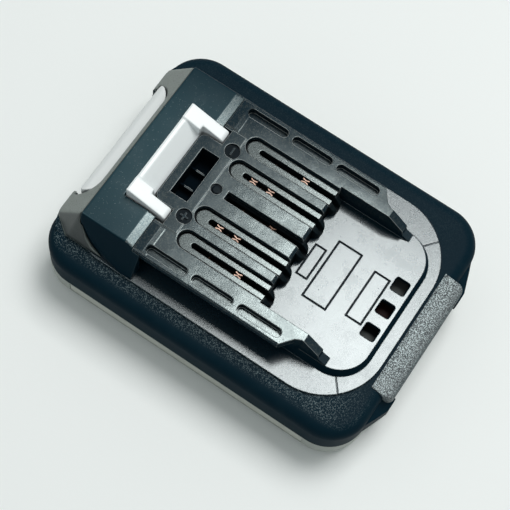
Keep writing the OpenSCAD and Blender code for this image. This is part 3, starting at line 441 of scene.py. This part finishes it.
def cowl_plastic():
    """Grained, pitted taupe moulding, painted dark on the cowl's sides as painted shade, and pale
    low on the base.
    """
    f = Finish("cowl_plastic", COWL_TAUPE, 0.45)
    z = f.axis("Z")
    grain = f.noise(0.25 * MM, rough=0.7)
    pits = specks(f, 0.7 * MM, 0.60)
    worn = scuffs(f)
    # painted shade: the cowl's sides above the band are painted dark by how far they face sideways
    shaded_sides = f.facing("X").size().ramp(0.40, 0.80) * (z > BAND)
    colour = f.mix(worn * 0.5, COWL_TAUPE, COWL_WORN)
    colour = f.mix(grain.ramp(0.35, 0.65) * 0.30, colour, COWL_GRAIN)
    colour = f.mix(shaded_sides * 0.85, colour, COWL_SIDE_SHADE)
    colour = f.mix(pits * 0.9, colour, COWL_PIT)
    colour = f.mix(z.ramp(BASE_TOP, BASE_PALE) * 0.85, colour, BASE_TAUPE)
    normal = f.bump(grain - pits * 0.4, 0.08 * MM, 0.6)
    return f.set(Base_Color=colour, Roughness=0.42 + worn * 0.08, Normal=normal)


def bumper_plastic():
    """Spark-eroded grain, salt and pepper in the light, painted darker towards its outer edge as
    painted shade.
    """
    f = Finish("bumper_plastic", BUMPER_GREY, 0.46, Specular_IOR_Level=0.5)
    grain = f.noise(0.30 * MM, rough=0.7)
    salt = f.noise(0.30 * MM, 1.0).ramp(0.45, 0.62)
    outer = f.axis("Y").ramp(BUMPER_TURN, BUMPER_EDGE)
    colour = f.mix(salt, BUMPER_PEPPER_AND_SHADE, BUMPER_SALT)
    colour = f.mix(scuffs(f, 5 * MM) * 0.25, colour, BUMPER_WORN)
    # painted shade: darker towards the outer edge
    colour = f.mix(outer * 0.6, colour, BUMPER_PEPPER_AND_SHADE)
    normal = f.bump(grain, 0.16 * MM, 0.8, f.edges(0.5 * MM))
    return f.set(Base_Color=colour, Roughness=0.52 - salt * 0.10, Normal=normal)


def latch_plastic():
    """White moulded plastic, a little darkened by handling marks, and painted greyer on the button
    as painted shade.
    """
    f = Finish("latch_plastic", LATCH_WHITE, 0.38,
               Subsurface_Weight=0.05, Subsurface_Radius=(0.001, 0.001, 0.001))
    marks = clouds(f).ramp(0.5, 0.8)
    grains = specks(f, 1.0 * MM, 0.24)
    button = f.axis("Y").ramp(HOOK_FRONT, BUTTON_REAR)
    colour = f.mix(marks * 0.3, LATCH_WHITE, LATCH_MARK)
    colour = f.mix(grains * 0.12, colour, LATCH_SPECK)
    # painted shade: the button painted greyer than the hook
    colour = f.mix(button * 0.8, colour, BUTTON_SHADE_GREY)
    normal = f.bump(f.noise(0.5 * MM), 0.03 * MM, 0.5)
    return f.set(Base_Color=colour, Roughness=0.36 + marks * 0.1, Normal=normal)


def holder_plastic():
    """Terminal plate: dark, with a polished, finely grained top on its raised parts and a painted
    highlight along that top's edges.
    """
    f = Finish("holder_plastic", HOLDER_BLACK, 0.5, Specular_IOR_Level=0.05)
    top = f.axis("Z").ramp(ISLAND - 0.35 * MM, ISLAND - 0.05 * MM)
    grit = random_cells(f, 0.28 * MM)
    worn = scuffs(f, 4 * MM)
    turned = f.edges(0.25 * MM)
    colour = f.mix(worn * 0.5, HOLDER_BLACK, HOLDER_WORN)
    colour = f.mix(grit.ramp(0.55, 1.0) * top * 0.5, colour, HOLDER_GRIT)
    # painted highlight: lighter lines along the edges of the raised top
    colour = f.mix(top * edge_band(f, turned) * 0.7, colour, HOLDER_EDGE_HIGHLIGHT)
    normal = f.bump(f.noise(0.42 * MM), 0.012 * MM, 0.6, turned)
    f.polish(top * (0.86 + grit * 0.10), Base_Color=colour, Normal=normal,
             Specular_Tint=GREEN_SHEEN, IOR=1.70, Roughness=0.20)
    return f.set(Base_Color=colour, Normal=normal)


def bright_metal(name, colour, dull, roughness, shade_below_tips):
    """Stamped or drawn metal with fine streaks and stains; if asked, painted darker below the tips
    as painted shade.
    """
    f = Finish(name, colour, roughness, Metallic=1.0)
    streaks = f.noise(0.3 * MM, 3.0, 0.7)
    stains = scuffs(f, 3 * MM)
    shade = f.mix(stains * 0.6, colour, dull)
    if shade_below_tips:
        # painted shade: below the tips the metal is painted darker, as the shade down in the slot
        tips = f.axis("Z").ramp(ISLAND - 2.2 * MM, ISLAND - 0.9 * MM)
        shade = f.mix(tips, tuple(0.55 * part for part in dull), shade)
    normal = f.bump(streaks, 0.02 * MM, 0.5)
    return f.set(Base_Color=shade, Roughness=roughness + streaks * 0.12 + stains * 0.15,
                 Normal=normal)


def board_laminate():
    """Green solder mask with faint tracks under it."""
    f = Finish("board_laminate", BOARD_GREEN, 0.32)
    waves = f.node("ShaderNodeTexWave", {"wave_type": "BANDS", "bands_direction": "X"},
                   {"Vector": f.place, "Scale": 180.0, "Distortion": 1.5, "Detail": 1.0}, "Fac")
    tracks = waves.ramp(0.62, 0.7)
    colour = f.mix(tracks * 0.6, BOARD_MASK, BOARD_TRACK)
    return f.set(Base_Color=colour, Roughness=0.30 + tracks * 0.1,
                 Normal=f.bump(tracks, 0.03 * MM, 0.5))


def cell_wrap():
    """Dark shrink film with a red band around the middle of each cell and pale ends."""
    f = Finish("cell_wrap", WRAP_BLACK, 0.5, Specular_IOR_Level=0.05)
    from_middle = f.axis("X").size()
    patches = clouds(f)
    red = f.mix(patches, WRAP_RED_DARK, WRAP_RED_LIGHT)
    colour = f.mix(patches, WRAP_DARK, WRAP_LIGHT)
    colour = f.mix(from_middle.ramp(3.4 * MM, 2.8 * MM), colour, red)
    colour = f.mix(from_middle.ramp(7.0 * MM, 8.2 * MM), colour, WRAP_PALE)
    return f.set(Base_Color=colour, Roughness=0.50 + (patches - 0.5) * 0.12,
                 Normal=f.bump(f.noise(0.8 * MM), 0.05 * MM, 0.6))


def plain_moulding(name, colour, worn_colour, roughness, grain):
    """Inner pieces: even colour with slight clouds and a fine grain."""
    f = Finish(name, colour, roughness)
    patches = clouds(f)
    shade = f.mix(patches, colour, worn_colour)
    normal = f.bump(f.noise(grain), 0.05 * MM, 0.6)
    return f.set(Base_Color=shade, Roughness=roughness + (patches - 0.5) * 0.12, Normal=normal)


def label_film():
    """Bare grey film with a fine brushed look."""
    f = Finish("label_film", LABEL_GREY, 0.38)
    stretch = f.node("ShaderNodeMapping", {}, {"Vector": f.place, "Scale": (1.0, 0.06, 1.0)})
    brushed = f.noise(0.25 * MM, 3.0, 0.6, stretch)
    shade = f.mix(f.noise(8 * MM, 3.0), LABEL_DARK, LABEL_LIGHT)
    return f.set(Base_Color=shade, Roughness=0.32 + brushed * 0.2,
                 Normal=f.bump(brushed, 0.01 * MM, 0.5))


FINISHES = {
    "case_plastic": case_plastic(),
    "housing_plastic": housing_plastic(),
    "cowl_plastic": cowl_plastic(),
    "bumper_plastic": bumper_plastic(),
    "latch_plastic": latch_plastic(),
    "holder_plastic": holder_plastic(),
    "board_laminate": board_laminate(),
    "cell_wrap": cell_wrap(),
    "label": label_film(),
}
for row in METALS:
    FINISHES[row[0]] = bright_metal(*row)
for row in INNER_PLASTICS:
    FINISHES[row[0]] = plain_moulding(*row)
slot_of = {part["node"]: part["material_slot"] for part in frame["record"]["subparts"]}
for name, node in frame["nodes"].items():
    node.data.materials.clear()
    node.data.materials.append(FINISHES[slot_of[name]])


# pieces that stand for CAD nodes: copies of the springs, and mouldings with soft edges

def deselect():
    for obj in bpy.context.selected_objects:
        obj.select_set(False)


def apply_modifier(piece, kind, **settings):
    modifier = piece.modifiers.new(kind.lower(), kind)
    for key, value in settings.items():
        setattr(modifier, key, value)
    bpy.ops.object.modifier_apply(modifier=modifier.name)


def merged_copy(node, name):
    """A copy of a CAD piece, with its mesh joined up, as the one selected object."""
    deselect()
    piece = bpy.data.objects.new(name, frame["nodes"][node].data.copy())
    bpy.context.scene.collection.objects.link(piece)
    piece.select_set(True)
    bpy.context.view_layer.objects.active = piece
    bpy.ops.object.mode_set(mode="EDIT")
    bpy.ops.mesh.select_all(action="SELECT")
    bpy.ops.mesh.remove_doubles(threshold=MERGE_DISTANCE)
    bpy.ops.object.mode_set(mode="OBJECT")
    return piece


def live_spring(node):
    """A joined-up copy of a spring that rides on the pack in place of the CAD piece."""
    piece = merged_copy(node, node + "_coil")
    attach(piece, "pack")
    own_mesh(piece)
    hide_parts(node)


def soft_moulding(node, body, grid, passes, shape=None):
    """A copy of a CAD piece, in its place, whose edges are rounded as a mould rounds them."""
    piece = merged_copy(node, node + "_moulded")
    if shape:
        shape(piece)
    apply_modifier(piece, "REMESH", mode="VOXEL", voxel_size=grid)
    apply_modifier(piece, "SMOOTH", factor=0.5, iterations=passes)
    bpy.ops.object.shade_smooth()
    piece.data.materials.clear()
    piece.data.materials.append(FINISHES[slot_of[node]])
    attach(piece, body)
    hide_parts(node)


def widen_rear_strip(piece):
    """Draws the top edge of the housing's rear strip forward, so that the strip slopes gently."""
    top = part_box("latch_housing")[1].z
    bpy.ops.object.mode_set(mode="EDIT")
    bpy.ops.mesh.select_all(action="DESELECT")
    bpy.ops.object.mode_set(mode="OBJECT")
    for vertex in piece.data.vertices:
        at = vertex.co
        vertex.select = at.z > top - SAME_PLACE and abs(at.y - STRIP_EDGE) < SAME_PLACE
    bpy.ops.object.mode_set(mode="EDIT")
    bpy.ops.transform.translate(value=(0, -STRIP_WIDENING, 0))
    bpy.ops.object.mode_set(mode="OBJECT")


live_spring("latch_spring_left")
live_spring("latch_spring_right")
soft_moulding("latch_hook", "latch", FINE_GRID, passes=7)
soft_moulding("release_button", "latch", FINE_GRID, passes=12)
soft_moulding("front_cowl", "pack", COARSE_GRID, passes=22)
soft_moulding("latch_housing", "pack", COARSE_GRID, passes=4, shape=widen_rear_strip)


# floor, light and camera

deselect()
bpy.ops.mesh.primitive_plane_add(size=FLOOR_SIZE, location=(0, 0, -FLOOR_GAP))
floor = bpy.context.object
floor.name = "floor"
paper = Finish("floor_paper", FLOOR_PALE, 0.6)
floor.data.materials.append(paper.set(
    Base_Color=paper.mix(paper.noise(120 * MM, 3.0), FLOOR_DARK, FLOOR_LIGHT),
    Normal=paper.bump(paper.noise(1.2 * MM), 0.05 * MM, 0.3)))


def softbox(name, place, aim, width, height, power, colour):
    lamp = bpy.data.lights.new(name, "AREA")
    lamp.shape = "RECTANGLE"
    lamp.size, lamp.size_y = width, height
    lamp.energy = power
    lamp.color = colour
    holder = bpy.data.objects.new(name, lamp)
    bpy.context.scene.collection.objects.link(holder)
    holder.location = place
    holder.rotation_euler = (Vector(aim) - Vector(place)).to_track_quat("-Z", "Y").to_euler()
    return holder


key = softbox("key", place=(-0.70, 0.12, 1.6), aim=(0.0, 0.0, 0.0),
              width=0.9, height=0.9, power=19.5, colour=(1.0, 0.99, 0.97))
key.visible_glossy = False
window = softbox("window", place=(-0.303, 0.083, 1.0), aim=(-0.303, 0.083, 0.0),
                 width=0.286, height=0.41, power=9.4, colour=(1.0, 1.0, 0.99))
window.visible_diffuse = False
rim = softbox("rim", place=(0.30, -0.30, 1.0), aim=(0.0, 0.0, 0.0),
              width=0.30, height=0.30, power=2.0, colour=(0.85, 0.95, 1.0))
rim.visible_diffuse = False

world = bpy.data.worlds.new("studio")
bpy.context.scene.world = world
world.use_nodes = True
background = world.node_tree.nodes["Background"]
background.inputs["Color"].default_value = WORLD_COLOUR
background.inputs["Strength"].default_value = WORLD_STRENGTH

lens = bpy.data.cameras.new("camera")
lens.sensor_width = SENSOR_WIDTH_MM
lens.lens = FOCAL_LENGTH_MM
lens.clip_start = 10 * MM
camera = bpy.data.objects.new("camera", lens)
bpy.context.scene.collection.objects.link(camera)
turn = Matrix((CAMERA_RIGHT, CAMERA_UP, CAMERA_BACK)).transposed().to_4x4()
camera.matrix_world = Matrix.Translation(CAMERA_PLACE) @ turn
bpy.context.scene.camera = camera
bpy.context.scene.view_settings.view_transform = "Standard"
